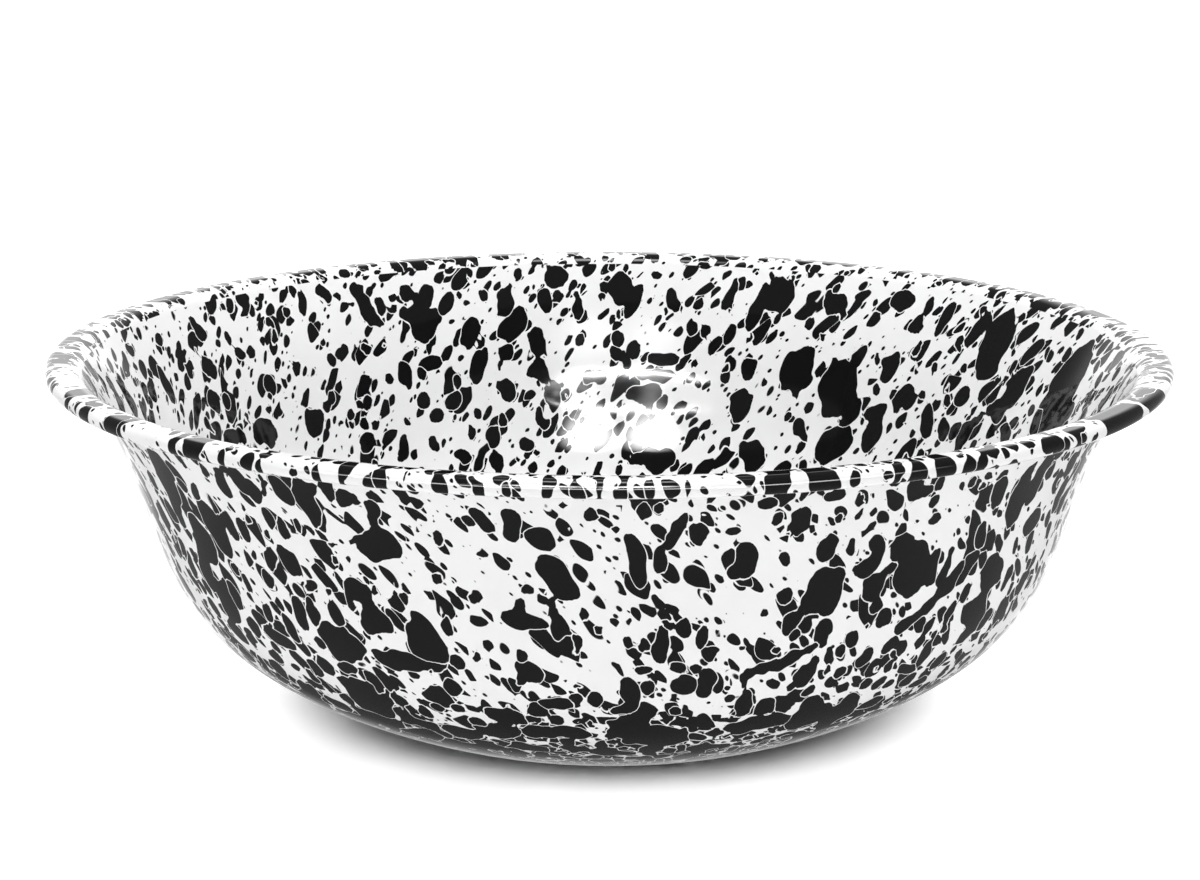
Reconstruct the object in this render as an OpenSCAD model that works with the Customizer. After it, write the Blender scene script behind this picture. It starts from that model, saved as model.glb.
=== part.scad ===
// Enamel basin bowl: one pressed steel sheet with a rolled rim, under a coat of fired enamel.
// The basin is turned about the Z axis and rests on the plane Z = 0. Lengths are in millimetres.

/* [Basin] */
// Diameter over the rolled rim
rim_d = 356; // [320:1:400]
// Height from the table to the top of the lip
height = 115; // [95:1:135]
// Diameter of the ring that the basin rests on, at its outer edge
base_d = 148; // [130:1:180]

/* [Base] */
// Width of the flat ring that the basin rests on
ring_w = 10; // [6:0.5:20]
// How far the panel in the middle of the base stands above that ring
panel_rise = 0.8; // [0.4:0.1:1.6]
// Radius of the two small bends round the edge of the panel
panel_bend_r = 6; // [3:0.5:8]
// Radius of the bend from the resting ring into the wall
base_bend_r = 12; // [6:0.5:20]

/* [Wall] */
// Slope of the wall where it leaves the base, in degrees from level
foot_slope = 21; // [12:1:30]
// Slope of the wall where it reaches the lip, in degrees from level
mouth_slope = 57; // [45:1:70]
// How far the foot's slope carries outward before the wall turns up
belly_share = 0.62; // [0.45:0.01:0.72]
// How far the mouth's slope carries down before the wall stands upright
flare_share = 0.43; // [0.3:0.01:0.55]

/* [Rim] */
// Radius of the bend from the wall into the lip
lip_bend_r = 6; // [4:0.5:10]
// Width of the level strip between that bend and the bead
lip_w = 0.5; // [0.2:0.1:3]
// Diameter of the rolled bead, over its steel
bead_d = 4.8; // [4:0.1:8]

/* [Layers] */
// Thickness of the pressed steel sheet
sheet_t = 0.8; // [0.6:0.05:1]
// Thickness of the fired enamel on each face of the sheet
enamel_t = 0.3; // [0.2:0.05:0.4]

/* [Hidden] */

// Number of straight steps that each stretch of the section is drawn with
panel_steps = 4;
foot_steps = 6;
wall_steps = 36;
lip_steps = 8;
bead_steps = 28;
// Number of facets round the basin
$fn = 180;

// Distance from the middle of the sheet to its bare face, and to the face of the enamel on it
steel_face = sheet_t / 2;
enamel_face = steel_face + enamel_t;

// Levels of the middle of the sheet: the resting ring, the panel and the lip
ring_z = enamel_face;
panel_z = ring_z + panel_rise;
lip_z = height - enamel_face;

// Middle of the rolled bead, which is the outermost part of the basin
bead_r = rim_d / 2 - enamel_t - bead_d / 2;
bead_bend_r = bead_d / 2 - steel_face;

// The free edge tucks up inside the bead until two coats of enamel part it from the lip above
tuck_angle = asin(1 - (sheet_t + 2 * enamel_t) / (bead_d / 2));
curl_angle = 270 + tuck_angle;

// Turn of each bend round the panel, which together drop by the panel's rise
panel_turn = acos(1 - panel_rise / (2 * panel_bend_r));
// Radius of the level part of the panel, inside those bends and the resting ring
panel_r = base_d / 2 - ring_w - 2 * panel_bend_r * sin(panel_turn);

// Where the lip bend ends in the level strip
lip_end_r = bead_r - bead_d / 2 - enamel_t - lip_w;

// A row of a path is [distance from the axis, height, slope in degrees], walked outward from the
// axis. The face on the walker's left is the inside of the basin and the visible face of the bead.

// Rows of a bend of radius r that turns from slope a to slope b
function bend(start, r, a, b, steps) =
    [for (i = [0 : steps])
        let (t = a + (b - a) * i / steps, turn = sign(b - a))
        [start[0] + turn * r * (sin(t) - sin(a)), start[1] + turn * r * (cos(a) - cos(t)), t]];

// Point and slope at share t of the cubic curve that leaves p0 for p1 and reaches p3 from p2
function curve_row(p0, p1, p2, p3, t) =
    let (s = 1 - t,
         p = s * s * s * p0 + 3 * s * s * t * p1 + 3 * s * t * t * p2 + t * t * t * p3,
         d = s * s * (p1 - p0) + 2 * s * t * (p2 - p1) + t * t * (p3 - p2))
    [p[0], p[1], atan2(d[1], d[0])];

// Rows of the wall, an S-curve that keeps the slopes of the two bends it joins
function wall_rows(foot, mouth) =
    let (p0 = [foot[0], foot[1]],
         p3 = [mouth[0], mouth[1]],
         span = norm(p3 - p0),
         p1 = p0 + belly_share * span * [cos(foot[2]), sin(foot[2])],
         p2 = p3 - flare_share * span * [cos(mouth[2]), sin(mouth[2])])
    [for (i = [0 : wall_steps]) curve_row(p0, p1, p2, p3, i / wall_steps)];

function last(rows) = rows[len(rows) - 1];
function without_first(rows) = [for (i = [1 : len(rows) - 1]) rows[i]];
function reversed(rows) = [for (i = [len(rows) - 1 : -1 : 0]) rows[i]];

// Points of a path moved a distance to its left, or to its right when the distance is negative
function beside(rows, distance) =
    [for (row = rows) [row[0] - distance * sin(row[2]), row[1] + distance * cos(row[2])]];

// Outline of the layer that lies between two distances beside a path
function layer(rows, near, far) = concat(beside(rows, near), reversed(beside(rows, far)));

panel_down = bend([panel_r, panel_z], panel_bend_r, 0, -panel_turn, panel_steps);
panel_out = bend(last(panel_down), panel_bend_r, -panel_turn, 0, panel_steps);
foot = bend([base_d / 2, ring_z], base_bend_r, 0, foot_slope, foot_steps);

// The lip bend is laid out backwards from its level end, so that it ends at the lip's height
lip_start = [lip_end_r - lip_bend_r * sin(mouth_slope),
             lip_z - lip_bend_r * (1 - cos(mouth_slope)),
             mouth_slope];
lip = bend(lip_start, lip_bend_r, mouth_slope, 0, lip_steps);
bead = bend([bead_r, lip_z], bead_bend_r, 0, -curl_angle, bead_steps);

// The middle of the sheet, in two runs that meet where the wall turns into the lip
body_rows = concat([[0, panel_z, 0]], panel_down, without_first(panel_out), foot,
                   without_first(wall_rows(last(foot), lip_start)));
rim_rows = concat(lip, bead);

// The free edge: its corner inside the bead, the enamel over it, and the coat it is tucked up to
edge_inner = beside([last(bead)], -steel_face)[0];
edge_coat = beside([last(bead)], enamel_face)[0];
under_lip_z = lip_z - enamel_face;

// The basin is one blank, pressed to shape and trimmed, with its edge rolled into a hollow bead
module steel_shell() {
    color("silver")
    rotate_extrude()
    polygon(layer(concat(body_rows, without_first(rim_rows)), steel_face, -steel_face));
}

// The coat that holds what is put in the basin, from the middle of the base up to the lip
module inside_enamel() {
    color("white")
    rotate_extrude()
    polygon(layer(body_rows, steel_face, enamel_face));
}

// The coat over the lip and round the bead, which runs on into the seam at the free edge
module rim_enamel() {
    seam = [[edge_coat[0], under_lip_z], [edge_inner[0], under_lip_z], edge_inner];
    color("gainsboro")
    rotate_extrude()
    polygon(concat(beside(rim_rows, enamel_face), seam, reversed(beside(rim_rows, steel_face))));
}

// The coat on the outside, from under the base up to the seam beneath the lip
module outside_enamel() {
    under_lip = [[edge_inner[0], lip_z, 0]];
    color("white")
    rotate_extrude()
    polygon(layer(concat(body_rows, without_first(lip), under_lip), -steel_face, -enamel_face));
}

steel_shell();
inside_enamel();
rim_enamel();
outside_enamel();
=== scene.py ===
import math
import random

import bmesh
import bpy
import numpy as np
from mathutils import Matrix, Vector


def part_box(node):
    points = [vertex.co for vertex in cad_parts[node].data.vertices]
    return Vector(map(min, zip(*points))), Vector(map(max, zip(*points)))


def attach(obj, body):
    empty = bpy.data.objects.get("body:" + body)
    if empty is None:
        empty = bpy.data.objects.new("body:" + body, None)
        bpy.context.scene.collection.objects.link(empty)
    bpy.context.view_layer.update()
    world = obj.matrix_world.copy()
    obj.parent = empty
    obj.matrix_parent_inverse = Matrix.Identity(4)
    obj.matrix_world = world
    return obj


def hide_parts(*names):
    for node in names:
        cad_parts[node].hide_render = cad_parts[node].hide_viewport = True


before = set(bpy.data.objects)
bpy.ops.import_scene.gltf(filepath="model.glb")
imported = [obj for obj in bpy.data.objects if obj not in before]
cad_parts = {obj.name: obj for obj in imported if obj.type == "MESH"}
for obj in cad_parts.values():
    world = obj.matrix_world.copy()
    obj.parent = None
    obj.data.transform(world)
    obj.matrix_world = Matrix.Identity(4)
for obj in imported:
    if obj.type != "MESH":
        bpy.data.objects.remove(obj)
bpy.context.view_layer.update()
view_settings = bpy.context.scene.view_settings
view_settings.view_transform = "Standard"


# The camera stands a little above the rim and about a metre off, with a long lens, and looks down
# on the basin by a small angle. None of the basin's sizes are read from it.
IMAGE_W = 1200
FOCAL_PX = 3000
CAMERA_PLACE = (-0.0032, -0.941, 0.308)
CAMERA_DOWN = math.radians(13.4)
CAMERA_ROLL = math.radians(-0.08)

camera_data = bpy.data.cameras.new("camera")
camera_data.sensor_fit = "HORIZONTAL"
camera_data.sensor_width = 36.0
camera_data.lens = camera_data.sensor_width * FOCAL_PX / IMAGE_W
camera = bpy.data.objects.new("camera", camera_data)
camera.location = CAMERA_PLACE
camera.rotation_euler = (math.pi / 2 - CAMERA_DOWN, CAMERA_ROLL, 0.0)
bpy.context.scene.collection.objects.link(camera)
bpy.context.scene.camera = camera


# The table is a wide sheet of matt white board. It glows, though it is no lamp: painted light that
# keeps it white past every view and glows most near the basin, a painted bounce light on the foot.
# It darkens in the shadow that the basin stands in, partly real shade and partly a painted shadow,
# a ring round the foot where the glow is taken away.
FLOOR_R = 12.0
FLOOR_WHITE = (0.78, 0.78, 0.78, 1.0)
GLOW_FROM_R = 0.076
GLOW_FULL_R = 0.104
GLOW_SHAPE = (0.92, 1.0, 1.0)
NEAR_GLOW = 0.65
FAR_GLOW = 0.10
NEAR_R = 0.11
FAR_R = 0.33
SEEN_GLOW = 0.80


def wire(tree, kind, inputs, **settings):
    """Adds a node, sets its options, and sets or links its inputs."""
    made = tree.nodes.new(kind)
    for name, value in settings.items():
        setattr(made, name, value)
    for socket, value in inputs.items():
        if isinstance(value, bpy.types.NodeSocket):
            tree.links.new(value, made.inputs[socket])
        else:
            made.inputs[socket].default_value = value
    return made


def new_material(name):
    """Returns an empty material, its node tree and its surface shader."""
    material = bpy.data.materials.new(name)
    material.use_nodes = True
    tree = material.node_tree
    tree.nodes.clear()
    shader = tree.nodes.new("ShaderNodeBsdfPrincipled")
    wire(tree, "ShaderNodeOutputMaterial", {"Surface": shader.outputs["BSDF"]})
    return material, tree, shader


def make_object(name, bm):
    """Turns a bmesh into an object at the origin and returns the object."""
    mesh = bpy.data.meshes.new(name)
    bm.to_mesh(mesh)
    bm.free()
    made = bpy.data.objects.new(name, mesh)
    bpy.context.scene.collection.objects.link(made)
    return made


bm = bmesh.new()
bmesh.ops.create_circle(bm, cap_ends=True, radius=FLOOR_R, segments=96)
table = make_object("table", bm)
material, tree, shader = new_material("white_board_painted_glow_and_shadow")
grain = wire(tree, "ShaderNodeTexNoise", {"Scale": 900.0, "Detail": 3.0})
level = wire(tree, "ShaderNodeMapRange", {"Value": grain.outputs["Fac"], "To Min": 0.55, "To Max": 0.65})
tree.links.new(level.outputs["Result"], shader.inputs["Roughness"])
place = wire(tree, "ShaderNodeTexCoord", {})
squeezed = wire(tree, "ShaderNodeVectorMath", {0: place.outputs["Object"], 1: GLOW_SHAPE},
                operation="MULTIPLY")
from_middle = wire(tree, "ShaderNodeVectorMath", {0: squeezed.outputs[0]}, operation="LENGTH")
# Painted shadow: the glow is taken away in a ring round the basin's foot and fades in outward.
lit = wire(tree, "ShaderNodeMapRange", {"Value": from_middle.outputs["Value"], "From Min": GLOW_FROM_R,
                                        "From Max": GLOW_FULL_R}, interpolation_type="SMOOTHSTEP")
ray = wire(tree, "ShaderNodeLightPath", {})
# Painted bounce light: to all rays but the camera's, the board glows most close to the basin.
cast = wire(tree, "ShaderNodeMapRange", {"Value": from_middle.outputs["Value"], "From Min": NEAR_R,
                                         "From Max": FAR_R, "To Min": NEAR_GLOW, "To Max": FAR_GLOW})
seen = wire(tree, "ShaderNodeMix", {"Factor": ray.outputs["Is Camera Ray"], "A": cast.outputs["Result"],
                                    "B": SEEN_GLOW}, data_type="FLOAT")
glow = wire(tree, "ShaderNodeMath", {0: lit.outputs["Result"], 1: seen.outputs["Result"]},
            operation="MULTIPLY")
tree.links.new(glow.outputs[0], shader.inputs["Emission Strength"])
shader.inputs["Emission Color"].default_value = (1.0, 1.0, 1.0, 1.0)
shader.inputs["Base Color"].default_value = FLOOR_WHITE
shader.inputs["Specular IOR Level"].default_value = 0.0
table.data.materials.append(material)
table.visible_glossy = False


# A dark disc lies just under the board and shows only in the gloss, where the board itself doesn't.
# It stands for the shadow under the basin, so that the foot of the wall mirrors no bright floor.
SHADE_R = 0.110
SHADE_END_R = 0.165
SHADE_Z = -0.0003
SHADE_DEPTH = 0.65
bm = bmesh.new()
bmesh.ops.create_circle(bm, cap_ends=True, radius=SHADE_END_R, segments=96)
bmesh.ops.translate(bm, vec=(0.0, 0.0, SHADE_Z), verts=bm.verts)
shade = make_object("shade", bm)
material, tree, shader = new_material("shade")
place = wire(tree, "ShaderNodeTexCoord", {})
from_middle = wire(tree, "ShaderNodeVectorMath", {0: place.outputs["Object"]}, operation="LENGTH")
thinning = wire(tree, "ShaderNodeMapRange", {"Value": from_middle.outputs["Value"], "From Min": SHADE_END_R,
                                             "From Max": SHADE_R, "To Max": SHADE_DEPTH},
                interpolation_type="SMOOTHSTEP")
tree.links.new(thinning.outputs["Result"], shader.inputs["Alpha"])
shader.inputs["Base Color"].default_value = (0.02, 0.02, 0.02, 1.0)
shader.inputs["Specular IOR Level"].default_value = 0.0
shade.data.materials.append(material)
shade.visible_camera = False
shade.visible_diffuse = False
shade.visible_shadow = False


# The studio is a white room that lights the basin from all round, and most from overhead. What the
# gloss sees of it is dimmer, with a bright band low in front, which draws the lines along the rim,
# and a pale wall behind, which pales the black at the basin's sides.
ROOM_LOW = 0.44
ROOM_HIGH = 1.6
ROOM_FROM_Z = -0.1
ROOM_TO_Z = 0.9
GLOSS_LOW = 0.45
GLOSS_HIGH = 0.25
GLOSS_FROM_Z = -0.5
GLOSS_TO_Z = 0.4
BACK_LIGHT = 1.7
BACK_FROM_Y = 0.75
BACK_TO_Y = 0.97
STRIP_LIGHT = 36.0
STRIP_LOW = math.sin(math.radians(4.0))
STRIP_HIGH = math.sin(math.radians(14.0))
STRIP_FROM_Y = -0.3
STRIP_TO_Y = -0.8

world = bpy.data.worlds.new("white_room")
world.use_nodes = True
bpy.context.scene.world = world
tree = world.node_tree
tree.nodes.clear()
place = wire(tree, "ShaderNodeTexCoord", {})
axes = wire(tree, "ShaderNodeSeparateXYZ", {"Vector": place.outputs["Generated"]})
up = axes.outputs["Z"]
room = wire(tree, "ShaderNodeMapRange", {"Value": up, "From Min": ROOM_FROM_Z, "From Max": ROOM_TO_Z,
                                         "To Min": ROOM_LOW, "To Max": ROOM_HIGH})
mirrored = wire(tree, "ShaderNodeMapRange", {"Value": up, "From Min": GLOSS_FROM_Z,
                                             "From Max": GLOSS_TO_Z, "To Min": GLOSS_LOW,
                                             "To Max": GLOSS_HIGH},
                interpolation_type="SMOOTHSTEP")
over = wire(tree, "ShaderNodeMath", {0: up, 1: STRIP_LOW}, operation="GREATER_THAN")
under = wire(tree, "ShaderNodeMath", {0: up, 1: STRIP_HIGH}, operation="LESS_THAN")
strip = wire(tree, "ShaderNodeMath", {0: over.outputs[0], 1: under.outputs[0]}, operation="MULTIPLY")
front = wire(tree, "ShaderNodeMapRange", {"Value": axes.outputs["Y"], "From Min": STRIP_FROM_Y,
                                          "From Max": STRIP_TO_Y, "To Max": STRIP_LIGHT},
             interpolation_type="SMOOTHSTEP")
back = wire(tree, "ShaderNodeMapRange", {"Value": axes.outputs["Y"], "From Min": BACK_FROM_Y,
                                         "From Max": BACK_TO_Y, "To Max": BACK_LIGHT},
            interpolation_type="SMOOTHSTEP")
sides = wire(tree, "ShaderNodeMath", {0: mirrored.outputs["Result"], 1: back.outputs["Result"]},
             operation="ADD")
lined = wire(tree, "ShaderNodeMath", {0: strip.outputs[0], 1: front.outputs["Result"],
                                      2: sides.outputs[0]}, operation="MULTIPLY_ADD")
ray = wire(tree, "ShaderNodeLightPath", {})
seen = wire(tree, "ShaderNodeMix", {"Factor": ray.outputs["Is Glossy Ray"], "A": room.outputs["Result"],
                                    "B": lined.outputs[0]}, data_type="FLOAT")
shown = wire(tree, "ShaderNodeMix", {"Factor": ray.outputs["Is Camera Ray"], "A": seen.outputs["Result"],
                                     "B": 1.0}, data_type="FLOAT")
sky = wire(tree, "ShaderNodeBackground", {"Strength": shown.outputs["Result"]})
wire(tree, "ShaderNodeOutputWorld", {"Surface": sky.outputs["Background"]})


# A large light hangs overhead. In front, two wide lights and a long thin one show in the gloss
# alone, as two clouds and a streak of glare on the far inside wall.
BASIN_MIDDLE = (0.0, 0.0, 0.0)
INSIDE_WALL = (0.0, 0.15, 0.07)
FRONT_Y = -1.75
CLOUD_Z = 1.26
CLOUD_SIZE = (0.70, 0.85)
STREAK_Z = 0.925
STREAK_SIZE = (1.9, 0.016)


def soft_light(name, place, aim, width, height, watts, shows_in_gloss_only=False):
    """Adds a soft light that faces a point, fades to its rim and isn't seen by the camera."""
    light = bpy.data.lights.new(name, "AREA")
    light.shape = "RECTANGLE"
    light.size = width
    light.size_y = height
    light.energy = watts
    light.use_nodes = True
    tree = light.node_tree
    spot = wire(tree, "ShaderNodeNewGeometry", {})
    offset = wire(tree, "ShaderNodeVectorMath", {0: spot.outputs["Parametric"], 1: (0.5, 0.5, 0.0)},
                  operation="DISTANCE")
    fade = wire(tree, "ShaderNodeMapRange", {"Value": offset.outputs["Value"], "From Min": 0.5,
                                             "From Max": 0.1}, interpolation_type="SMOOTHSTEP")
    tree.links.new(fade.outputs["Result"], tree.nodes["Emission"].inputs["Strength"])
    made = bpy.data.objects.new(name, light)
    made.location = place
    made.rotation_euler = (Vector(aim) - Vector(place)).to_track_quat("-Z", "Y").to_euler()
    made.visible_camera = False
    made.visible_diffuse = not shows_in_gloss_only
    bpy.context.scene.collection.objects.link(made)


soft_light("top_light", (0.0, 0.0, 2.4), BASIN_MIDDLE, 1.5, 1.1, 85.0)
soft_light("left_light", (0.18, FRONT_Y, CLOUD_Z), INSIDE_WALL, *CLOUD_SIZE, 130.0, True)
soft_light("right_light", (-0.40, FRONT_Y, CLOUD_Z), INSIDE_WALL, *CLOUD_SIZE, 130.0, True)
soft_light("streak_light", (-0.20, FRONT_Y, STREAK_Z), INSIDE_WALL, *STREAK_SIZE, 30.0, True)


# A flag of black cloth hangs over the basin and shows only in the gloss. It keeps the two wide
# lights off the top of the far wall, where they would be mirrored a second time.
FLAG_Y = 0.05
FLAG_HALF_W = 0.12
FLAG_LOW = 0.1222
FLAG_HIGH = 0.20

bm = bmesh.new()
hem = bm.edges.new([bm.verts.new((x, FLAG_Y, FLAG_LOW)) for x in (-FLAG_HALF_W, FLAG_HALF_W)])
raised = bmesh.ops.extrude_edge_only(bm, edges=[hem])["geom"]
raised_verts = [part for part in raised if isinstance(part, bmesh.types.BMVert)]
bmesh.ops.translate(bm, vec=(0.0, 0.0, FLAG_HIGH - FLAG_LOW), verts=raised_verts)
flag = make_object("flag", bm)
material, tree, shader = new_material("black_cloth")
shader.inputs["Base Color"].default_value = (0.0, 0.0, 0.0, 1.0)
shader.inputs["Specular IOR Level"].default_value = 0.0
flag.data.materials.append(material)
flag.visible_camera = False
flag.visible_diffuse = False
flag.visible_shadow = False


# The steel shell is the pressed and pickled sheet that carries the enamel, base, wall, lip and
# rolled bead in one piece. The enamel covers all of it, so it keeps its own solid.
SHEET_T = 0.0008
ENAMEL_T = 0.0003
BASE_D = 0.148
RING_W = 0.010
PANEL_RISE = 0.0008
PANEL_BEND_R = 0.006
BASE_BEND_R = 0.012
FOOT_SLOPE = math.radians(21.0)
MOUTH_SLOPE = math.radians(57.0)
BELLY_SHARE = 0.62
FLARE_SHARE = 0.43
LIP_BEND_R = 0.006
LIP_W = 0.0005
BEAD_D = 0.0048

material, tree, shader = new_material("pickled_steel")
place = wire(tree, "ShaderNodeTexCoord", {})
pits = wire(tree, "ShaderNodeTexNoise", {"Vector": place.outputs["Object"], "Scale": 700.0, "Detail": 4.0})
tone = wire(tree, "ShaderNodeMapRange", {"Value": pits.outputs["Fac"], "To Min": 0.16, "To Max": 0.30})
matt = wire(tree, "ShaderNodeMapRange", {"Value": pits.outputs["Fac"], "To Min": 0.35, "To Max": 0.60})
dents = wire(tree, "ShaderNodeBump", {"Height": pits.outputs["Fac"], "Distance": 0.00004})
tree.links.new(tone.outputs["Result"], shader.inputs["Base Color"])
tree.links.new(matt.outputs["Result"], shader.inputs["Roughness"])
tree.links.new(dents.outputs["Normal"], shader.inputs["Normal"])
shader.inputs["Metallic"].default_value = 1.0
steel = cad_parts["steel_shell"]
steel.data.materials.clear()
steel.data.materials.append(material)


# The inside enamel is the coat that holds the food: white glass fired on the steel, with black
# glass slung over it wet, so that the splashes flow, crowd each other and keep hair-thin gaps.
SLICES = 12
SLICE_STEPS = 60
WALL_STEP = 0.0021
BACK_STEP = 0.012
SHARP = math.radians(35.0)
REACH = 0.005
MEAN_R = 0.140
LEAN_TURN = 3.3
CELL = 0.016
MEAN_LEAN = -10.0
WALL_SPREAD = 16.0
BASE_SPREAD = 80.0
BASE_RUN = 90.0
LOBE_PLACE = 0.42
EDGE_WANDER = 0.0060
GAP_LOW = 0.00015
GAP_HIGH = 0.00028
CROWD_SCALE = 26.0
DROP_LAYERS = ((1.0, 0.0, -0.5, 0.67), (0.6, 0.31, -0.45, 0.59))
SPECK_SCALE = 480.0
POOL_SCALE = 210.0
BLACK = (0.007, 0.007, 0.0075, 1.0)
WHITES = ((0.80, 0.80, 0.80, 1.0), (0.86, 0.86, 0.86, 1.0))

steel_face = SHEET_T / 2
enamel_face = steel_face + ENAMEL_T
rim_low, rim_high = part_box("rim_enamel")
ring_z = enamel_face
panel_z = ring_z + PANEL_RISE
lip_z = rim_high.z - enamel_face
bead_r = rim_high.x - ENAMEL_T - BEAD_D / 2
bead_bend_r = BEAD_D / 2 - steel_face
tuck = math.asin(1 - (SHEET_T + 2 * ENAMEL_T) / (BEAD_D / 2))
panel_turn = math.acos(1 - PANEL_RISE / (2 * PANEL_BEND_R))
panel_r = BASE_D / 2 - RING_W - 2 * PANEL_BEND_R * math.sin(panel_turn)
lip_end_r = bead_r - BEAD_D / 2 - ENAMEL_T - LIP_W


def bend(start, radius, a, b, steps):
    """Rows of a bend in the sheet that turns from slope a to slope b."""
    turn = math.copysign(1.0, b - a)
    rows = []
    for i in range(steps + 1):
        t = a + (b - a) * i / steps
        r = start[0] + turn * radius * (math.sin(t) - math.sin(a))
        z = start[1] + turn * radius * (math.cos(a) - math.cos(t))
        rows.append((r, z, t))
    return rows


def wall_rows(foot, mouth, steps):
    """Rows of the wall, a cubic curve that keeps the slopes of the two bends it joins."""
    p0 = Vector(foot[:2])
    p3 = Vector(mouth[:2])
    span = (p3 - p0).length
    p1 = p0 + BELLY_SHARE * span * Vector((math.cos(foot[2]), math.sin(foot[2])))
    p2 = p3 - FLARE_SHARE * span * Vector((math.cos(mouth[2]), math.sin(mouth[2])))
    rows = []
    for i in range(steps + 1):
        t = i / steps
        s = 1 - t
        p = s**3 * p0 + 3 * s * s * t * p1 + 3 * s * t * t * p2 + t**3 * p3
        d = s * s * (p1 - p0) + 2 * s * t * (p2 - p1) + t * t * (p3 - p2)
        rows.append((p.x, p.y, math.atan2(d.y, d.x)))
    return rows


def beside(rows, distance):
    """Rows moved a distance to the left of the walk outward, which is the inside of the basin."""
    return [(r - distance * math.sin(t), z + distance * math.cos(t), t) for r, z, t in rows]


def even_rows(rows, step):
    """The same line with a row every step, and each row's distance along the line at its end."""
    runs = [0.0]
    for a, b in zip(rows, rows[1:]):
        runs.append(runs[-1] + math.dist(a[:2], b[:2]))
    count = max(1, round(runs[-1] / step))
    even = []
    at = 0
    for i in range(count + 1):
        run = runs[-1] * i / count
        while at < len(rows) - 2 and runs[at + 1] < run:
            at += 1
        share = (run - runs[at]) / max(runs[at + 1] - runs[at], 1e-12)
        a, b = rows[at], rows[at + 1]
        even.append(tuple(x + (y - x) * share for x, y in zip(a, b)) + (run,))
    return even


def lay_flat(coat, longest, as_disc):
    """Lays a coat out in a map to bake through, as a disc or cut in strips, with its back small."""
    mesh = coat.data
    points = np.empty(len(mesh.vertices) * 3)
    mesh.vertices.foreach_get("co", points)
    points = points.reshape(-1, 3)
    run = np.empty(len(points))
    mesh.attributes["run"].data.foreach_get("value", run)
    corners = np.empty(len(mesh.loops), int)
    mesh.loops.foreach_get("vertex_index", corners)
    starts = np.empty(len(mesh.polygons), int)
    mesh.polygons.foreach_get("loop_start", starts)
    counts = np.diff(np.append(starts, len(corners)))
    hidden = np.repeat(np.logical_or.reduceat(run[corners] < 0.0, starts), counts)
    share = np.abs(run[corners]) / longest
    turn = np.arctan2(points[corners, 0], -points[corners, 1])
    if as_disc:
        middle = np.where(hidden, 0.085, 0.5)
        reach = np.where(hidden, 0.08, 0.495) * share
        places = np.column_stack((middle + reach * np.sin(turn), middle - reach * np.cos(turn)))
    else:
        slice_turn = math.tau / SLICES
        centre = np.add.reduceat(points[corners], starts)
        slice_of = np.arctan2(centre[:, 0], -centre[:, 1]) % math.tau // slice_turn
        number = np.repeat(slice_of, counts)
        off = (turn - (number + 0.5) * slice_turn + math.pi) % math.tau - math.pi
        across = 0.5 + 0.96 * off / slice_turn
        height = 0.02 + 0.96 * share
        u = np.where(hidden, (number + across) / SLICES, (number % 2 + across) / 2)
        v = np.where(hidden, (6 + height) / 7, (number // 2 + height) / 7)
        places = np.column_stack((u, v))
    mesh.uv_layers.new(name="OFBake").data.foreach_set("uv", places.ravel())


def spin_coat(name, face, back, seam=()):
    """Spins a coat's section round the basin: its showing face, then its back against the steel."""
    bm = bmesh.new()
    run = bm.verts.layers.float.new("run")
    line = []
    for rows, sign in ((face, 1.0), (seam, -1.0), (back[::-1], -1.0)):
        for row in rows:
            vert = bm.verts.new((0.0, -max(row[0], 0.0), row[1]))
            vert[run] = row[3] if sign > 0 else -row[3] - 1e-6
            line.append(vert)
    edges = [bm.edges.new(pair) for pair in zip(line, line[1:])]
    if seam:
        edges.append(bm.edges.new((line[-1], line[0])))
    middle = {"cent": (0.0, 0.0, 0.0), "axis": (0.0, 0.0, 1.0)}
    slice_turn = math.tau / SLICES
    bmesh.ops.spin(bm, geom=line + edges, angle=slice_turn, steps=SLICE_STEPS, **middle)
    bmesh.ops.spin(bm, geom=bm.verts[:] + bm.edges[:] + bm.faces[:], angle=math.tau - slice_turn,
                   steps=SLICES - 1, use_duplicate=True, **middle)
    bmesh.ops.remove_doubles(bm, verts=bm.verts, dist=1e-6)
    bmesh.ops.recalc_face_normals(bm, faces=bm.faces)
    for part in bm.faces:
        part.smooth = True
    for edge in bm.edges:
        if edge.calc_face_angle(0.0) > SHARP:
            edge.smooth = False
    coat = make_object(name, bm)
    lay_flat(coat, face[-1][3], not seam)
    return coat


def surface_place(face, bearing, run):
    """Point on a coat at a bearing and a distance along its section, with its two directions."""
    share = run / face[-1][3] * (len(face) - 1)
    at = min(int(share), len(face) - 2)
    r, z, slope, _ = (a + (b - a) * (share - at) for a, b in zip(face[at], face[at + 1]))
    turn = math.radians(bearing)
    out = Vector((math.sin(turn), -math.cos(turn), 0.0))
    across = Vector((math.cos(turn), math.sin(turn), 0.0))
    climb = out * math.cos(slope) + Vector((0.0, 0.0, math.sin(slope)))
    return out * r + Vector((0.0, 0.0, z)), across, climb


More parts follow.
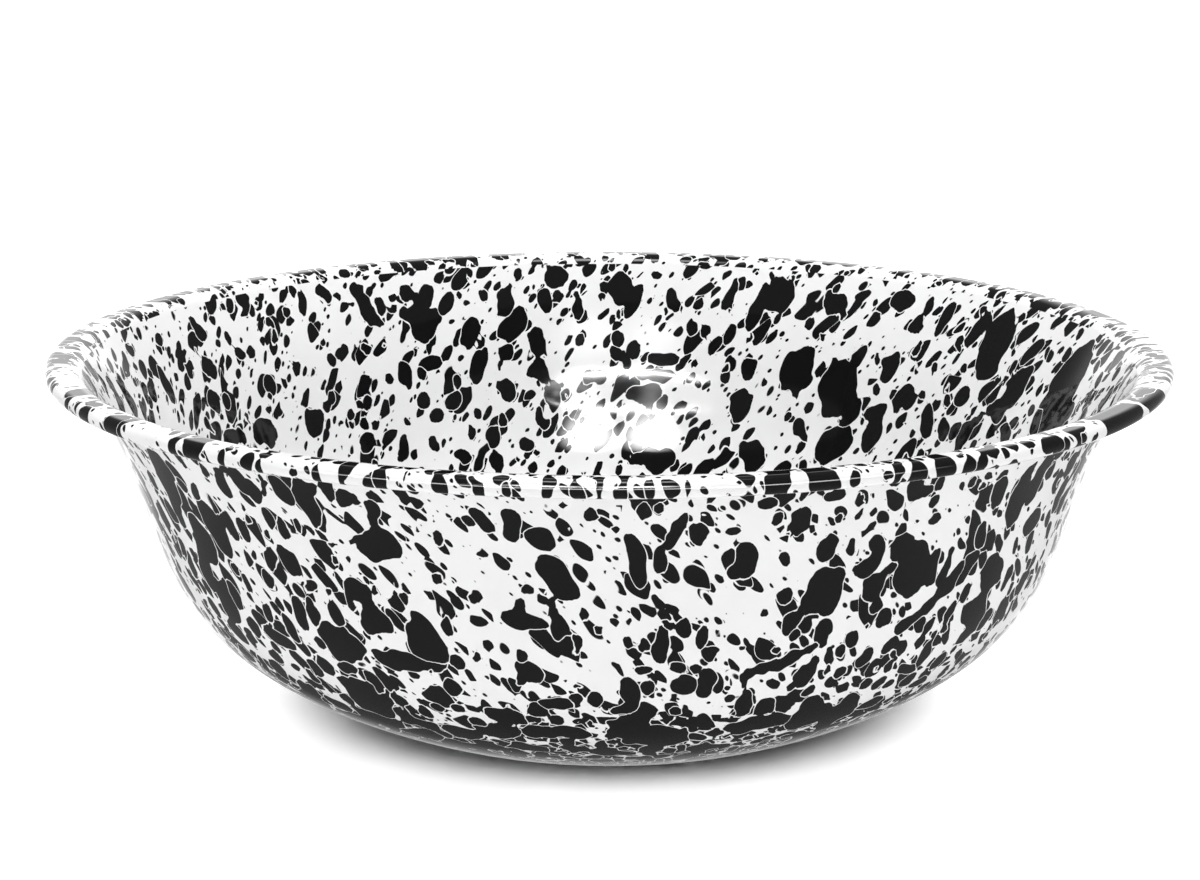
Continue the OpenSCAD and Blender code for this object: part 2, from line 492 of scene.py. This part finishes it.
def scatter(rng, face, count, low, high, sizes, closeness, placed, keep_out):
    """Adds splashes at random that don't lie on those already placed. Sizes are in millimetres."""

    def cell_of(point):
        return tuple(int(c // CELL) for c in point)

    spots = [(surface_place(face, s[0], s[1] / 1000)[0], (s[2] + s[3]) / 4000) for s in placed]
    cells = {}
    for spot in spots:
        cells.setdefault(cell_of(spot[0]), []).append(spot)
    widest = max(row[0] for row in face)
    for _ in range(count):
        bearing = rng.uniform(0.0, 360.0)
        run = rng.uniform(low, high)
        pick = rng.random()
        length = sizes[0] + (sizes[1] - sizes[0]) * rng.random() ** 3
        width = length * rng.uniform(0.45, 0.85)
        lean = rng.gauss(MEAN_LEAN, WALL_SPREAD if run > BASE_RUN else BASE_SPREAD)
        centre = surface_place(face, bearing, run / 1000)[0]
        if pick * widest > math.hypot(centre.x, centre.y) or keep_out(bearing, run, length):
            continue
        reach = (width + length) / 4000
        home = cell_of(centre)
        near = [spot for dx in (-1, 0, 1) for dy in (-1, 0, 1) for dz in (-1, 0, 1)
                for spot in cells.get((home[0] + dx, home[1] + dy, home[2] + dz), ())]
        if all((spot[0] - centre).length > closeness * (spot[1] + reach) for spot in near):
            cells.setdefault(home, []).append((centre, reach))
            placed.append((bearing, run, width, length, lean, rng.choice((0, 0, 2, 3))))
    return placed


def lobed(rng, placed):
    """Gives splashes the rounded lobes that they run out into, and puts each whole in one set."""
    parts = []
    for number, (bearing, run, width, length, lean, *lobes) in enumerate(placed):
        side = int(number % 3 == 0)
        parts.append((side, bearing, run, width, length, lean))
        for _ in range(lobes[0] if lobes else 0):
            turn = rng.uniform(0.0, math.tau)
            size = rng.uniform(0.3, 0.55)
            sideways = LOBE_PLACE * width * math.cos(turn)
            upward = LOBE_PLACE * length * math.sin(turn)
            step = math.degrees(sideways / (1000 * MEAN_R))
            parts.append((side, bearing + step, run + upward, size * width, size * length * 1.3,
                          lean + rng.uniform(-30.0, 30.0)))
    return parts


def splash(coat, face, parts):
    """Writes how deep each vertex lies inside the nearest splash, in two sets that stay apart."""
    mesh = coat.data
    points = np.empty(len(mesh.vertices) * 3)
    mesh.vertices.foreach_get("co", points)
    points = points.reshape(-1, 3)
    order = np.argsort(points[:, 0])
    points = points[order]
    depths = np.full((2, len(points)), -REACH)
    for group, bearing, run, width, length, lean in parts:
        centre, across, climb = surface_place(face, bearing, run / 1000)
        tilt = math.radians(lean)
        long_way = climb * math.cos(tilt) + across * math.sin(tilt)
        short_way = across * math.cos(tilt) - climb * math.sin(tilt)
        half = np.array((width, length)) / 2000
        reach = half.max() + REACH
        first, end = np.searchsorted(points[:, 0], (centre.x - reach, centre.x + reach))
        offset = points[first:end] - np.array(centre)
        close = (np.abs(offset[:, 1]) < reach) & (np.abs(offset[:, 2]) < reach)
        near = np.flatnonzero(close)
        flat = offset[near] @ np.array((short_way, long_way)).T / half
        near += first
        q = np.hypot(flat[:, 0], flat[:, 1])
        steep = np.hypot(flat[:, 0] / half[0], flat[:, 1] / half[1]) / np.maximum(q, 1e-6)
        inside = np.minimum((1 - q) / np.maximum(steep, 1.0), half.min())
        depths[group, near] = np.maximum(depths[group, near], inside)
    for name, sorted_depth in zip(("splash_a", "splash_b"), depths):
        depth = np.empty(len(points), np.float32)
        depth[order] = sorted_depth
        mesh.attributes.new(name, "FLOAT", "POINT").data.foreach_set("value", depth)


def splatter_group():
    """Builds the shared pattern: splashes from the mesh, and drops and specks between them."""
    group = bpy.data.node_groups.new("splatter", "ShaderNodeTree")
    ports = group.interface
    ports.new_socket("Drop Size", in_out="INPUT", socket_type="NodeSocketFloat")
    ports.new_socket("Crowding", in_out="INPUT", socket_type="NodeSocketFloat")
    ports.new_socket("Foot Crowding", in_out="INPUT", socket_type="NodeSocketFloat")
    ports.new_socket("Black", in_out="OUTPUT", socket_type="NodeSocketFloat")
    start = group.nodes.new("NodeGroupInput")
    end = group.nodes.new("NodeGroupOutput")
    place = wire(group, "ShaderNodeTexCoord", {}).outputs["Object"]
    height = wire(group, "ShaderNodeSeparateXYZ", {"Vector": place}).outputs["Z"]

    def maths(kind, *values):
        return wire(group, "ShaderNodeMath", dict(enumerate(values)), operation=kind).outputs[0]

    def ramp(value, low, high, to_low=0.0, to_high=1.0):
        made = wire(group, "ShaderNodeMapRange", {"Value": value, "From Min": low, "From Max": high,
                    "To Min": to_low, "To Max": to_high}, interpolation_type="SMOOTHSTEP")
        return made.outputs["Result"]

    turn = maths("MULTIPLY", height, LEAN_TURN)
    leaned = wire(group, "ShaderNodeVectorRotate", {"Vector": place, "Angle": turn},
                  rotation_type="Z_AXIS").outputs[0]

    def bent_place(shift, scale, amount, stretch):
        moved = wire(group, "ShaderNodeMapping", {"Vector": leaned, "Location": shift, "Scale": stretch})
        flow = wire(group, "ShaderNodeTexNoise", {"Vector": moved.outputs[0], "Scale": scale,
                                                  "Detail": 1.0})
        middle = wire(group, "ShaderNodeVectorMath", {0: flow.outputs["Color"], 1: (0.5, 0.5, 0.5)},
                      operation="SUBTRACT")
        bent = wire(group, "ShaderNodeVectorMath", {0: middle.outputs[0], 1: (amount,) * 3,
                    2: moved.outputs[0]}, operation="MULTIPLY_ADD")
        return bent.outputs[0]

    def drops(where, scale, least, most):
        cell = wire(group, "ShaderNodeTexVoronoi", {"Vector": where, "Scale": scale, "Smoothness": 0.4},
                    feature="SMOOTH_F1")
        chance = wire(group, "ShaderNodeSeparateColor", {"Color": cell.outputs["Color"]})
        size = ramp(chance.outputs["Red"], 1.0, 0.25, most, least)
        return maths("SUBTRACT", size, cell.outputs["Distance"])

    edge_place = bent_place((0.2, 0.2, 0.2), 90.0, 0.004, (1.0, 1.0, 0.55))
    edge = wire(group, "ShaderNodeTexNoise", {"Vector": edge_place, "Scale": 150.0, "Detail": 1.0,
                                              "Roughness": 0.4})
    edges = wire(group, "ShaderNodeSeparateColor", {"Color": edge.outputs["Color"]})
    depths = []
    for name, port in (("splash_a", "Red"), ("splash_b", "Green")):
        stored = wire(group, "ShaderNodeAttribute", {}, attribute_name=name).outputs["Fac"]
        rough = maths("MULTIPLY_ADD", edges.outputs[port], EDGE_WANDER, -EDGE_WANDER / 2)
        depths.append(maths("ADD", stored, rough))
    body = maths("MAXIMUM", *depths)
    gap = maths("ABSOLUTE", maths("SUBTRACT", *depths))
    large = maths("MULTIPLY", ramp(body, -0.00018, -0.00006), ramp(gap, GAP_LOW, GAP_HIGH))
    clear = ramp(body, -0.00050, -0.00035, 1.0, 0.0)

    thick = wire(group, "ShaderNodeTexNoise", {"Vector": place, "Scale": CROWD_SCALE, "Detail": 2.0})
    crowd = maths("ADD", maths("MULTIPLY_ADD", thick.outputs["Fac"], 1.2, -0.6),
                  start.outputs["Crowding"])
    # More black towards the foot, so the wall is darker towards the bottom.
    low = maths("MULTIPLY", ramp(height, 0.020, 0.070, 0.6, 0.0), start.outputs["Foot Crowding"])
    crowd = maths("ADD", crowd, low)
    black = large
    size = start.outputs["Drop Size"]
    for share, seed, least, most in DROP_LAYERS:
        where = bent_place((seed, seed, seed), 150.0 / share, 0.0030 * share, (1.0, 1.0, 0.6))
        widest = maths("ADD", ramp(crowd, 0.0, 1.2, -0.15, 0.22), most)
        depth = drops(where, maths("DIVIDE", 1.0 / share, size), least, widest)
        black = maths("MAXIMUM", black, maths("MULTIPLY", ramp(depth, -0.02, 0.02), clear))
        clear = maths("MULTIPLY", clear, ramp(depth, -0.13, -0.08, 1.0, 0.0))
    where = bent_place((0.9, 0.4, 0.1), 420.0, 0.0008, (1.0, 1.0, 0.75))
    speck = wire(group, "ShaderNodeTexVoronoi", {"Vector": where, "Scale": SPECK_SCALE})
    chance = wire(group, "ShaderNodeSeparateColor", {"Color": speck.outputs["Color"]})
    reach = ramp(chance.outputs["Red"], 0.65, 1.0, -0.1, 0.38)
    depth = maths("SUBTRACT", reach, speck.outputs["Distance"])
    black = maths("MAXIMUM", black, maths("MULTIPLY", ramp(depth, -0.05, 0.05), clear))

    where = bent_place((0.5, 0.7, 0.3), 200.0, 0.0025, (1.0, 1.0, 1.0))
    pool = wire(group, "ShaderNodeTexVoronoi", {"Vector": where, "Scale": POOL_SCALE})
    shore = wire(group, "ShaderNodeTexVoronoi", {"Vector": where, "Scale": POOL_SCALE},
                 feature="DISTANCE_TO_EDGE")
    chance = wire(group, "ShaderNodeSeparateColor", {"Color": pool.outputs["Color"]})
    # Pools of black set thicker towards the foot, darker towards the bottom.
    likely = maths("MULTIPLY", ramp(height, 0.010, 0.052, 1.0, 0.0), start.outputs["Foot Crowding"])
    taken = maths("LESS_THAN", chance.outputs["Green"], likely)
    depth = maths("SMOOTH_MIN", maths("SUBTRACT", 0.72, pool.outputs["Distance"]),
                  maths("SUBTRACT", shore.outputs["Distance"], 0.05), 0.1)
    pools = maths("MULTIPLY", ramp(depth, -0.02, 0.02), taken)
    clear = ramp(body, -0.00045, -0.0003, 1.0, 0.0)
    black = maths("MAXIMUM", black, maths("MULTIPLY", pools, clear))
    group.links.new(black, end.inputs["Black"])
    return group


splatter = splatter_group()


def enamel(name, drop_size, crowding, foot_crowding):
    """Returns a glossy white enamel with black splatter that stands a little proud of it."""
    material, tree, shader = new_material(name)
    pattern = wire(tree, "ShaderNodeGroup", {}, node_tree=splatter)
    pattern.inputs["Drop Size"].default_value = drop_size
    pattern.inputs["Crowding"].default_value = crowding
    pattern.inputs["Foot Crowding"].default_value = foot_crowding
    black = pattern.outputs["Black"]
    place = wire(tree, "ShaderNodeTexCoord", {}).outputs["Object"]
    cloud = wire(tree, "ShaderNodeTexNoise", {"Vector": place, "Scale": 60.0, "Detail": 3.0})
    white = wire(tree, "ShaderNodeMix", {"Factor": cloud.outputs["Fac"], "A": WHITES[0],
                                         "B": WHITES[1]}, data_type="RGBA")
    colour = wire(tree, "ShaderNodeMix", {"Factor": black}, data_type="RGBA")
    tree.links.new(white.outputs[2], colour.inputs[6])
    colour.inputs[7].default_value = BLACK
    tree.links.new(colour.outputs[2], shader.inputs["Base Color"])
    peel = wire(tree, "ShaderNodeTexNoise", {"Vector": place, "Scale": 110.0, "Detail": 1.0})
    height = wire(tree, "ShaderNodeMath", {0: black, 1: 0.35, 2: peel.outputs["Fac"]},
                  operation="MULTIPLY_ADD")
    relief = wire(tree, "ShaderNodeBump", {"Height": height.outputs[0], "Distance": 0.00005,
                                           "Strength": 0.6})
    tree.links.new(relief.outputs["Normal"], shader.inputs["Normal"])
    shine = wire(tree, "ShaderNodeMapRange", {"Value": black, "To Min": 0.07, "To Max": 0.045})
    tree.links.new(shine.outputs["Result"], shader.inputs["Roughness"])
    shader.inputs["Specular IOR Level"].default_value = 0.25
    return material


panel_down = bend((panel_r, panel_z), PANEL_BEND_R, 0.0, -panel_turn, 12)
panel_out = bend(panel_down[-1], PANEL_BEND_R, -panel_turn, 0.0, 12)
foot = bend((BASE_D / 2, ring_z), BASE_BEND_R, 0.0, FOOT_SLOPE, 24)
lip_start = (lip_end_r - LIP_BEND_R * math.sin(MOUTH_SLOPE),
             lip_z - LIP_BEND_R * (1 - math.cos(MOUTH_SLOPE)), MOUTH_SLOPE)
wall = wall_rows(foot[-1], lip_start, 400)
body_rows = [(0.0, panel_z, 0.0)] + panel_down + panel_out[1:] + foot + wall[1:]

# Splashes on the back wall of the inside: bearing, distance from the middle of the base, width,
# length and lean to the right. Bearings run from the front to the right, in degrees.
INSIDE_SPLASHES = [
    (103.5, 203, 21, 36, -8, 2), (106.5, 190, 8, 12, 0), (107, 216, 5, 6, 0), (102.5, 219, 5, 10, 0),
    (114.5, 199, 9, 22, -28), (116.5, 189, 8, 9, 0), (114.5, 211, 6, 13, -35), (117, 218, 5, 10, -30),
    (121.7, 210, 14, 26, -3), (119.7, 196, 4, 15, -35), (126, 214, 5, 16, -15), (124.5, 190, 6, 8, -15),
    (132, 216, 5, 14, -15), (135, 219, 4, 8, -10), (136, 212, 5, 8, -20), (134.5, 185, 8, 10, 0, 2),
    (134.5, 204, 4, 7, -20), (139.5, 221, 9, 7, 0, 2), (149, 216, 9, 9, -20), (143.5, 197, 5, 9, -25),
    (138.5, 194, 6, 9, 0, 2), (152, 190, 10, 20, -10, 2), (146, 184, 14, 21, -15, 1),
    (143, 176, 4, 14, -25), (145, 164, 11, 16, -40), (139, 168, 6, 12, -10), (138.5, 177, 7, 9, 0, 2),
    (129.7, 178, 6, 12, 0), (122, 178, 6, 8, -20), (126.5, 177, 6, 9, 20), (113.5, 183, 7, 9, -30),
    (157, 217, 11, 15, -5, 2), (160, 208, 5, 13, -20), (150.5, 167, 5, 10, 30), (163.5, 215, 3, 12, -20),
    (168.5, 203, 4, 8, 0), (160.5, 175, 7, 14, -22), (159.5, 187, 5, 7, 0), (157.5, 157, 9, 9, 0, 3),
    (165, 195, 4, 9, -20), (163, 201, 4, 8, -15), (172, 190, 13, 5, 0), (173, 184, 18, 4, 0),
    (174, 177, 15, 6, 0, 2), (176, 193, 5, 8, -20), (171.3, 213, 4, 9, 20), (176.5, 212, 6, 13, -25),
    (178.3, 217, 8, 14, 0), (178.5, 197, 4, 6, 0), (173, 152, 12, 10, -20, 3), (184, 210, 4, 10, 0),
    (187, 221, 9, 8, 0, 2), (188.7, 212, 4, 9, 15), (194, 213, 6, 12, -10), (193, 204, 8, 16, -28),
    (190, 196, 7, 13, 0, 2), (190, 186, 10, 8, 0, 2), (199, 200, 7, 13, -25, 2), (198.5, 189, 6, 13, -20),
    (194.3, 193, 6, 6, 0, 2), (202, 213, 5, 10, -35), (204.5, 217, 6, 8, 0), (206, 207, 12, 14, 10, 3),
    (205.5, 191, 8, 5, 0), (209.7, 188, 5, 11, 12), (213.5, 215, 6, 13, 12), (211.5, 214, 5, 9, 0),
    (214, 222, 6, 6, 0), (219, 222, 5, 7, 0), (222.5, 220, 4, 10, -20), (188, 176, 6, 10, -20),
    (190, 169, 4, 8, 0), (194.5, 179, 5, 9, 0), (203, 176, 6, 8, -15), (207.5, 178, 5, 6, 0),
    (197.5, 162, 6, 9, 0, 2), (192.7, 159, 5, 6, 0), (197.5, 152, 6, 8, 0, 2), (202.5, 156, 6, 6, 0),
    (206.5, 161, 5, 6, 0, 2), (212, 161, 5, 12, -30), (217, 166, 8, 7, 20, 2), (216, 180, 4, 6, 0),
    (226, 176, 8, 9, 0, 3), (235.5, 177, 12, 9, 0, 3), (242.5, 179, 9, 6, -10), (242.5, 204, 8, 8, -20),
    (253, 204, 5, 15, 0), (257.5, 204, 5, 6, 0), (246.5, 185, 3, 7, 20), (232, 192, 4, 7, 0),
    (243.8, 193, 5, 7, 15, 2), (235.7, 206, 4, 4, 0), (251, 216, 3, 5, 0), (257.5, 219, 4, 5, 0),
]
inside_face = even_rows(beside(body_rows, enamel_face), WALL_STEP)
inside_back = even_rows(beside(body_rows, steel_face), BACK_STEP)
inside_coat = spin_coat("fired_inside_enamel", inside_face, inside_back)
rng = random.Random(7)
inside_splashes = list(INSIDE_SPLASHES)


def in_back(bearing, run, length):
    """True for a larger splash that would fall among those placed one by one on the inside."""
    return 100.0 < bearing < 260.0 and run > 148.0 and length > 5.0


scatter(rng, inside_face, count=4200, low=4.0, high=226.0, sizes=(3.0, 12.0), closeness=0.9,
        placed=inside_splashes, keep_out=in_back)
splash(inside_coat, inside_face, lobed(rng, inside_splashes))
inside_coat.data.materials.append(enamel("inside_enamel", drop_size=0.0058, crowding=0.66,
                                         foot_crowding=0.0))
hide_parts("inside_enamel")
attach(inside_coat, "root")


# The rim enamel runs over the lip and round the bead into the seam under it. The black pools in
# bold bands across the bead, where the wet glass gathers before it is fired.
RIM_STEP = 0.0004
RIM_BACK_STEP = 0.0012
SEAM_STEP = 0.0003

lip = bend(lip_start, LIP_BEND_R, MOUTH_SLOPE, 0.0, 40)
bead = bend((bead_r, lip_z), bead_bend_r, 0.0, -(1.5 * math.pi + tuck), 160)
rim_rows = lip + bead
rim_face = even_rows(beside(rim_rows, enamel_face), RIM_STEP)
rim_back = even_rows(beside(rim_rows, steel_face), RIM_BACK_STEP)
edge_inner = beside(bead[-1:], -steel_face)[0]
under_lip_z = lip_z - enamel_face
seam = [(rim_face[-1][0], under_lip_z, 0.0, rim_face[-1][3]),
        (edge_inner[0], under_lip_z, 0.0, rim_face[-1][3] - SEAM_STEP),
        (edge_inner[0], edge_inner[1], 0.0, rim_face[-1][3] - 2 * SEAM_STEP)]
rim_coat = spin_coat("fired_rim_enamel", rim_face, rim_back, seam)
RIM_SPLASHES = [
    (-78, 14, 2, 8, -40), (-74, 14, 2, 6, -40), (-71, 13, 1, 3, 0), (-66, 7, 10, 9, 0),
    (-64.3, 14, 3, 5, 10), (-61.7, 14, 2, 6, 0), (-59.5, 14, 7, 5, 15), (-60, 9, 7, 4, 0),
    (-53.6, 13, 8.5, 10, 0), (-51.8, 14, 1, 5, 0), (-50.7, 14, 0.8, 4, 0), (-47.3, 15, 2, 3, 0),
    (-46.3, 13, 2, 7, 0), (-43.3, 14, 2.5, 6, 0), (-40.6, 12, 6.5, 14, -3), (-37, 14, 1, 5, 0),
    (-36.5, 10, 3.5, 5, 0), (-35.5, 15, 1.5, 3, 20), (-33.9, 14, 5, 6, -12), (-32.5, 14, 2.5, 5, 0),
    (-32.4, 11, 4, 4, 0), (-29, 15, 1.5, 3, -25), (-26.3, 14, 2.5, 6, 0), (-23.8, 13, 4, 9, -5),
    (-21.2, 14, 2.5, 6, -12), (-20.2, 14, 3, 8, 0), (-18.3, 14, 2, 5, -10), (-14.6, 14, 5.5, 7, 0),
    (-12.2, 11, 2.5, 4, 0), (-11.3, 14, 2.5, 5, 0), (-8.8, 14, 2.5, 6, 0), (-9.5, 10, 4, 4, 0),
    (-5.5, 13, 2.5, 8, -8), (-3, 15, 3, 4, 0), (-1, 12, 3, 6, 0), (0.3, 14, 1, 6, 0),
    (1.1, 14, 3.2, 6, 0), (3.3, 14, 0.7, 5, 0), (5, 14, 2.8, 5, 12), (6.4, 14, 2, 6, 0),
    (10, 15, 1, 3, 0), (10.8, 12.5, 2.8, 2, 0), (11.5, 10, 6, 4, 0), (14.3, 14, 7, 10, -10),
    (18.6, 14, 9, 9, -10), (21.5, 13, 1.5, 4, 0), (20.5, 11, 3, 3, 0), (24.6, 13.5, 2, 2.2, 20),
    (25.6, 14, 2.5, 7, -12), (28, 14, 5.5, 8, 0), (30.6, 14, 7, 7, -10), (33.4, 15, 3, 4, 0),
    (34.9, 14, 3.5, 6, -12), (36, 10, 6, 4, -20), (37.6, 13, 0.8, 2, 0), (39, 10, 5, 4, -20),
    (41, 11.5, 3.5, 4, 0), (40.8, 14, 1.5, 4, -25), (43.2, 13, 6, 4, 20), (44.8, 14.5, 4, 5, 0),
    (46, 14, 2.5, 4, 0), (48.5, 15, 2.5, 3, 0), (50.8, 15, 2.5, 4, -10), (48.5, 10, 11, 5, 0),
    (57, 12, 27, 14, 0), (65.8, 13, 24, 9, -8), (66, 8, 15, 8, 0),
]
rim_splashes = list(RIM_SPLASHES)
for _ in range(190):
    rim_splashes.append((rng.uniform(72.0, 280.0), rng.uniform(9.0, 18.0), rng.uniform(1.2, 5.5),
                         rng.uniform(3.0, 12.0), rng.gauss(0.0, 20.0)))
for _ in range(160):
    rim_splashes.append((rng.uniform(0.0, 360.0), rng.uniform(0.0, 7.5), rng.uniform(1.2, 4.5),
                         rng.uniform(2.0, 6.0), rng.gauss(0.0, 20.0)))
splash(rim_coat, rim_face, lobed(rng, rim_splashes))
rim_coat.data.materials.append(enamel("rim_enamel", drop_size=0.0045, crowding=0.0,
                                      foot_crowding=0.0))
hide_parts("rim_enamel")
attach(rim_coat, "root")


# The outside enamel covers the underside of the base, the wall and the underside of the lip. It
# is slung like the inside, in finer drops towards the foot, and the black is set thicker there, so
# the wall grows darker towards the bottom.
OUTSIDE_SPLASHES = [
    (-55.5, 208, 11, 20, 0, 2), (-58.5, 194, 6, 9, -20), (-52, 188, 10, 17, -20), (-48, 195, 9, 19, -20),
    (-47, 204, 3, 8, 0), (-49, 208, 4, 8, 20), (-45, 198, 4, 11, 0), (-43, 197, 4, 8, 0),
    (-43, 214, 5, 11, 0), (-45.5, 218, 4, 6, 0), (-40, 217, 4, 8, 0), (-38.5, 214, 4, 8, 0),
    (-34.5, 216, 6, 10, -20), (-31.5, 213, 7, 18, -5), (-28.5, 218, 4, 8, 0), (-27, 216, 5, 6, 20),
    (-24, 212, 4, 10, 0), (-24.5, 201, 11, 11, 0, 3), (-38, 204, 4, 8, 0), (-36.5, 202, 4, 8, 0),
    (-34, 204, 3, 6, 0), (-37, 190, 6, 8, 0, 3), (-28.5, 185, 9, 6, 20, 2), (-24, 182, 5, 5, 0),
    (-34.5, 183, 6, 5, 0), (-12.5, 214, 4, 8, -20), (-9.5, 213, 5, 11, 0), (-7, 208, 6, 7, -20, 2),
    (-5.5, 194, 10, 17, -25), (-17.5, 206, 4, 6, 0), (-13, 202, 5, 4, 0), (-9.5, 185, 4, 6, 0),
    (-9, 180, 12, 5, 15), (-14, 179, 8, 5, 0), (-5.5, 178, 4, 8, 0), (-3.5, 172, 4, 7, 0),
    (-37.5, 172, 4, 12, 0), (-35.5, 172, 5, 8, 0), (-32, 175, 5, 9, 0), (-32, 164, 14, 13, 0, 3),
    (-26.5, 174, 10, 9, 0, 2), (-23.5, 162, 22, 8, 0), (-21, 170, 9, 20, -10, 2), (-18, 176, 5, 9, 0),
    (-9, 162, 6, 9, -25), (-32, 140, 12, 22, 0, 3), (-29.5, 149, 6, 13, 0), (-38.5, 152, 6, 8, 0),
    (-34.5, 147, 5, 7, 0), (-45.5, 152, 5, 7, 0), (-42.5, 149, 5, 4, 0), (-19, 154, 5, 7, 0),
    (-21, 149, 8, 10, 0, 3), (-27, 144, 5, 6, 0), (-13, 142, 12, 8, 0, 3), (-24, 140, 5, 7, 0),
    (-6.5, 150, 9, 5, 0), (-9, 146, 6, 7, 0), (-1.5, 152, 4, 7, 0), (-17, 136, 6, 7, 0),
    (-15, 132, 14, 8, 0, 3), (-9.5, 133, 10, 7, 0, 2), (-5, 134, 12, 8, 20, 2), (-20.5, 128, 13, 11, 0, 2),
    (-25.5, 130, 8, 8, 0), (-28, 133, 6, 10, 0), (-47.5, 144, 7, 9, 0), (-54.5, 174, 4, 10, -20),
    (-51.5, 168, 9, 15, 0, 2), (-49, 172, 6, 11, 0), (-52.5, 156, 9, 6, 20), (-42.5, 160, 14, 4, 15),
    (3, 218, 3, 8, 0), (6.5, 211, 4, 16, 20), (8.5, 210, 6, 10, -20), (2.5, 202, 4, 20, -15),
    (5, 202, 3, 9, 0), (15, 219, 6, 5, 0), (12, 210, 6, 4, -20), (14, 200, 7, 12, -10),
    (19, 211, 5, 11, 0), (16.5, 213, 3, 5, 0), (22, 220, 5, 4, 0), (25, 218, 4, 9, -20),
    (22.5, 201, 7, 9, 0), (23, 187, 12, 15, 0, 3), (28.5, 193, 8, 8, 0, 2), (29.5, 185, 7, 9, 20),
    (32, 198, 7, 10, 0), (34.5, 188, 13, 14, 0, 3), (35.5, 206, 5, 5, 0), (37.5, 188, 4, 13, 0),
    (39.5, 186, 4, 9, 0), (31, 218, 5, 8, -20), (34, 220, 3, 5, 0), (44, 196, 5, 11, -15),
    (44, 210, 6, 15, -15), (48.5, 206, 8, 26, -12), (51, 211, 7, 20, -8), (54.5, 193, 9, 10, -20),
    (49, 179, 10, 12, 0, 2), (48.5, 166, 10, 15, -20, 2), (51, 162, 7, 7, 0), (48, 158, 7, 6, 0),
    (41, 181, 5, 15, 40), (43.3, 184, 5, 12, 30), (39, 176, 5, 14, 48), (36.5, 171, 4, 12, 55),
    (5.5, 173, 6, 14, 0), (3.5, 172, 4, 6, 0), (8, 178, 5, 8, 0),
    (10, 174, 4, 8, 0), (11, 168, 4, 5, 0), (20, 177, 5, 8, 0), (24, 172, 5, 10, -20),
    (21.5, 165, 4, 17, 62), (18, 162, 3, 9, 70), (18.5, 186, 5, 6, 0), (4, 164, 5, 3, 0),
    (7.5, 164, 4, 3, 0),
    (2, 156, 5, 10, 0), (4.5, 156, 3, 6, 0), (8.5, 157, 8, 7, 20), (11, 157, 6, 10, 0),
    (23.5, 158, 6, 12, 15), (28, 156, 4, 5, 0), (2, 148, 8, 4, 0), (4.5, 147, 8, 8, 0),
    (16.5, 148, 5, 12, 0), (19.5, 145, 5, 9, 0), (2, 138, 10, 13, 0, 2), (6.5, 131, 14, 15, 0, 3),
    (20.5, 135, 18, 10, 0, 3), (27, 134, 14, 17, 20, 3), (25.5, 143, 5, 9, 20), (33, 148, 6, 5, 0),
    (35.5, 147, 5, 6, 0), (37, 145, 5, 5, 0), (37, 136, 9, 6, 0), (32, 133, 12, 16, -20, 2),
    # Large splashes low on the left, near the foot, make it darker there.
    (41, 155, 4, 10, 0), (39, 151, 8, 4, 15), (-40, 120, 16, 14, 0, 3), (-34, 126, 15, 16, 0, 3),
    (-28, 119, 14, 12, 0, 3), (-46, 128, 10, 9, 0, 2), (-23, 113, 16, 11, 0, 3), (-12, 118, 13, 8, 0, 3),
    (0, 116, 12, 8, 0, 3), (-50, 112, 18, 12, 0, 3), (14, 118, 12, 8, 0, 3), (-58, 120, 12, 9, 0, 2),
    (-44, 136, 8, 9, 20, 2), (-40, 131, 8, 9, 20, 2), (-36.5, 138, 5, 8, 20), (-33, 155, 6, 5, 0, 2),
    (-40, 165, 5, 10, -15), (-43, 170, 4, 7, 0), (-45.5, 178, 5, 9, -15), (-41.5, 181, 5, 7, 0, 2),
    (-40, 189, 4, 8, 0), (-53.5, 180, 6, 12, -15), (-58, 176, 6, 10, -15, 2), (-62, 190, 6, 12, -10, 2),
    (-60.5, 204, 6, 9, 0), (-56, 163, 5, 9, -20), (-47.5, 160, 5, 8, -20), (-55, 145, 7, 6, 0, 2),
    (40, 168, 4, 6, 20), (43, 171, 4, 7, 20), (44.5, 176, 4, 7, 10), (46, 186, 4, 8, 0),
    (53, 175, 5, 9, 0), (56, 186, 5, 10, -10), (60, 200, 5, 12, -10, 2), (58, 170, 6, 9, 0, 2),
    (41, 145, 5, 6, 30), (45, 150, 4, 7, 30), (44, 141, 6, 5, 30), (31, 160, 4, 6, 10),
    (34, 163, 4, 6, 20), (28.5, 168, 4, 6, 0), (32, 174, 5, 6, 0), (30.5, 178, 4, 5, 0),
    (-56, 104, 16, 12, 0, 3), (-47, 103, 14, 10, 0, 3), (-38, 107, 15, 11, 0, 3), (-30, 105, 14, 10, 0, 3),
    (-21, 102, 12, 9, 0, 2), (-63, 112, 12, 12, 0, 2),
]
under_lip = [(edge_inner[0], lip_z, 0.0)]
outside_line = body_rows + lip[1:] + under_lip
outside_face = even_rows(beside(outside_line, -enamel_face), WALL_STEP)
outside_back = even_rows(beside(outside_line, -steel_face), BACK_STEP)
outside_coat = spin_coat("fired_outside_enamel", outside_face, outside_back)


def in_view(bearing, run, length):
    """True for a larger splash that would fall among those placed one by one, or beside them."""
    turn = (bearing + 180.0) % 360.0 - 180.0
    widest = 4.6 if abs(turn) < 58.0 else 7.0 if abs(turn) < 105.0 else 30.0
    return run > 128.0 and length > widest


outside_splashes = list(OUTSIDE_SPLASHES)
scatter(rng, outside_face, count=5200, low=4.0, high=230.0, sizes=(3.2, 12.0), closeness=0.9,
        placed=outside_splashes, keep_out=in_view)
scatter(rng, outside_face, count=1600, low=60.0, high=130.0, sizes=(5.0, 16.0), closeness=0.7,
        placed=outside_splashes, keep_out=in_view)
splash(outside_coat, outside_face, lobed(rng, outside_splashes))
outside_coat.data.materials.append(enamel("outside_enamel", drop_size=0.0058, crowding=0.74,
                                          foot_crowding=0.95))
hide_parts("outside_enamel")
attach(outside_coat, "root")
